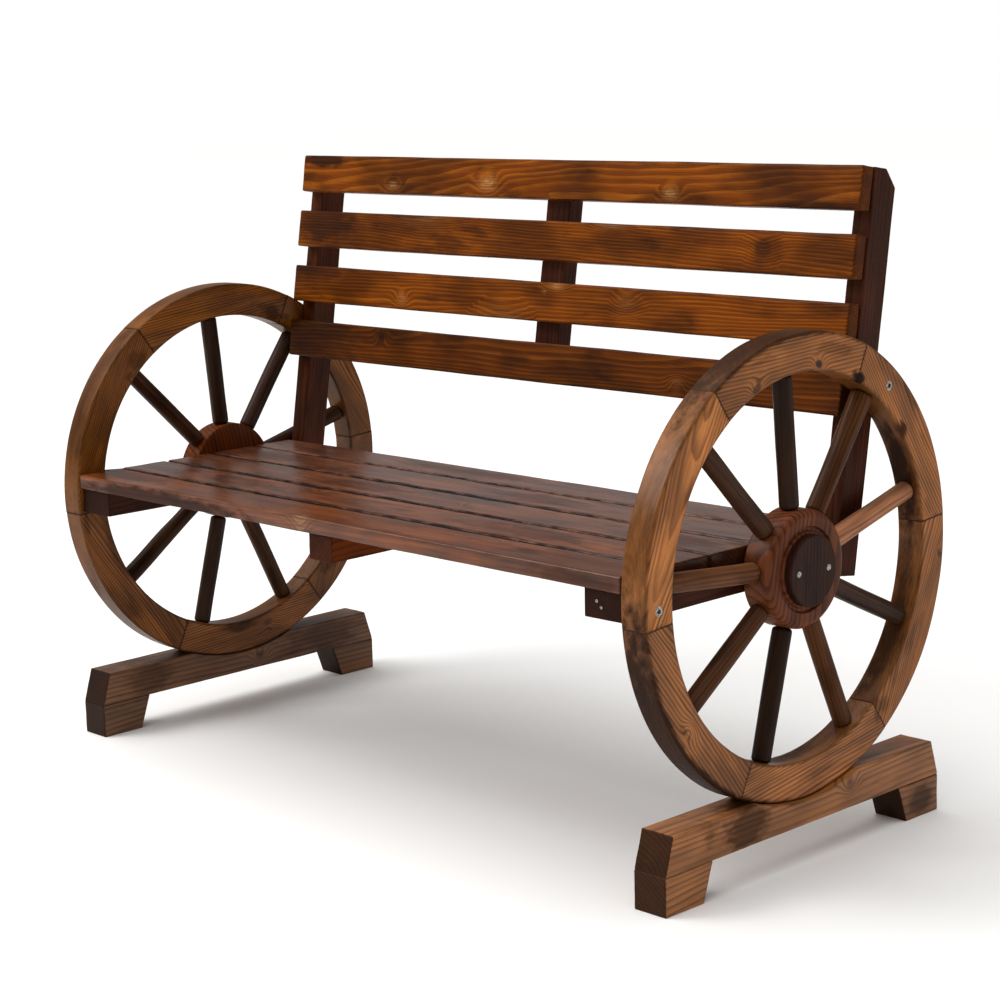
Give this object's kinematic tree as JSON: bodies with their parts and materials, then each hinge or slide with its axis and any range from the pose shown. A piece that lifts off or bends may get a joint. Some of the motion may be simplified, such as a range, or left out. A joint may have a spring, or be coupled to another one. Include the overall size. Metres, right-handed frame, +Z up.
{
  "type": "wagon wheel garden bench",
  "caption": "Slatted wooden garden bench with a leaning slatted back, carried at each end by a spoked wagon wheel that stands in a notched foot.",
  "frame": {"origin": "on the ground, midway between the wheels and straight below their centres", "axes": "+X along the bench to the sitter's left-hand end, which is the viewer's right from the front; +Y to the back; +Z up"},
  "size_m": [1.102, 0.54, 0.789],
  "materials": {
    "rim_wood": "charred and lacquered fir, orange brown",
    "spoke_wood": "charred and lacquered dowel, near black",
    "hub_wood": "turned, charred and lacquered",
    "cap_wood": "charred and lacquered, dark",
    "foot_wood": "charred and lacquered with burnt patches",
    "frame_wood": "charred and lacquered, dark",
    "seat_wood": "charred and lacquered, semi-gloss",
    "back_wood": "charred and lacquered, warm brown",
    "steel": "zinc-plated"
  },
  "bodies": {
    "root": {"right_felloe_1": "rim_wood", "right_felloe_2": "rim_wood", "right_felloe_3": "rim_wood", "right_felloe_4": "rim_wood", "right_felloe_5": "rim_wood", "right_felloe_6": "rim_wood", "left_felloe_1": "rim_wood", "left_felloe_2": "rim_wood", "left_felloe_3": "rim_wood", "left_felloe_4": "rim_wood", "left_felloe_5": "rim_wood", "left_felloe_6": "rim_wood", "right_spoke_1": "spoke_wood", "right_spoke_2": "spoke_wood", "right_spoke_3": "spoke_wood", "right_spoke_4": "spoke_wood", "right_spoke_5": "spoke_wood", "right_spoke_6": "spoke_wood", "right_spoke_7": "spoke_wood", "right_spoke_8": "spoke_wood", "right_spoke_9": "spoke_wood", "left_spoke_1": "spoke_wood", "left_spoke_2": "spoke_wood", "left_spoke_3": "spoke_wood", "left_spoke_4": "spoke_wood", "left_spoke_5": "spoke_wood", "left_spoke_6": "spoke_wood", "left_spoke_7": "spoke_wood", "left_spoke_8": "spoke_wood", "left_spoke_9": "spoke_wood", "right_hub": "hub_wood", "left_hub": "hub_wood", "right_hub_cap": "cap_wood", "left_hub_cap": "cap_wood", "right_foot_beam": "foot_wood", "right_foot_block_front": "foot_wood", "right_foot_block_rear": "foot_wood", "left_foot_beam": "foot_wood", "left_foot_block_front": "foot_wood", "left_foot_block_rear": "foot_wood", "right_bearer": "frame_wood", "left_bearer": "frame_wood", "middle_bearer": "frame_wood", "right_post": "frame_wood", "left_post": "frame_wood", "middle_post": "frame_wood", "seat_slat_1": "seat_wood", "seat_slat_2": "seat_wood", "seat_slat_3": "seat_wood", "seat_slat_4": "seat_wood", "seat_slat_5": "seat_wood", "back_slat_1": "back_wood", "back_slat_2": "back_wood", "back_slat_3": "back_wood", "back_slat_4": "back_wood", "wheel_bolts": "steel", "cap_screws": "steel", "bearer_nails": "steel"}
  },
  "joints": []
}
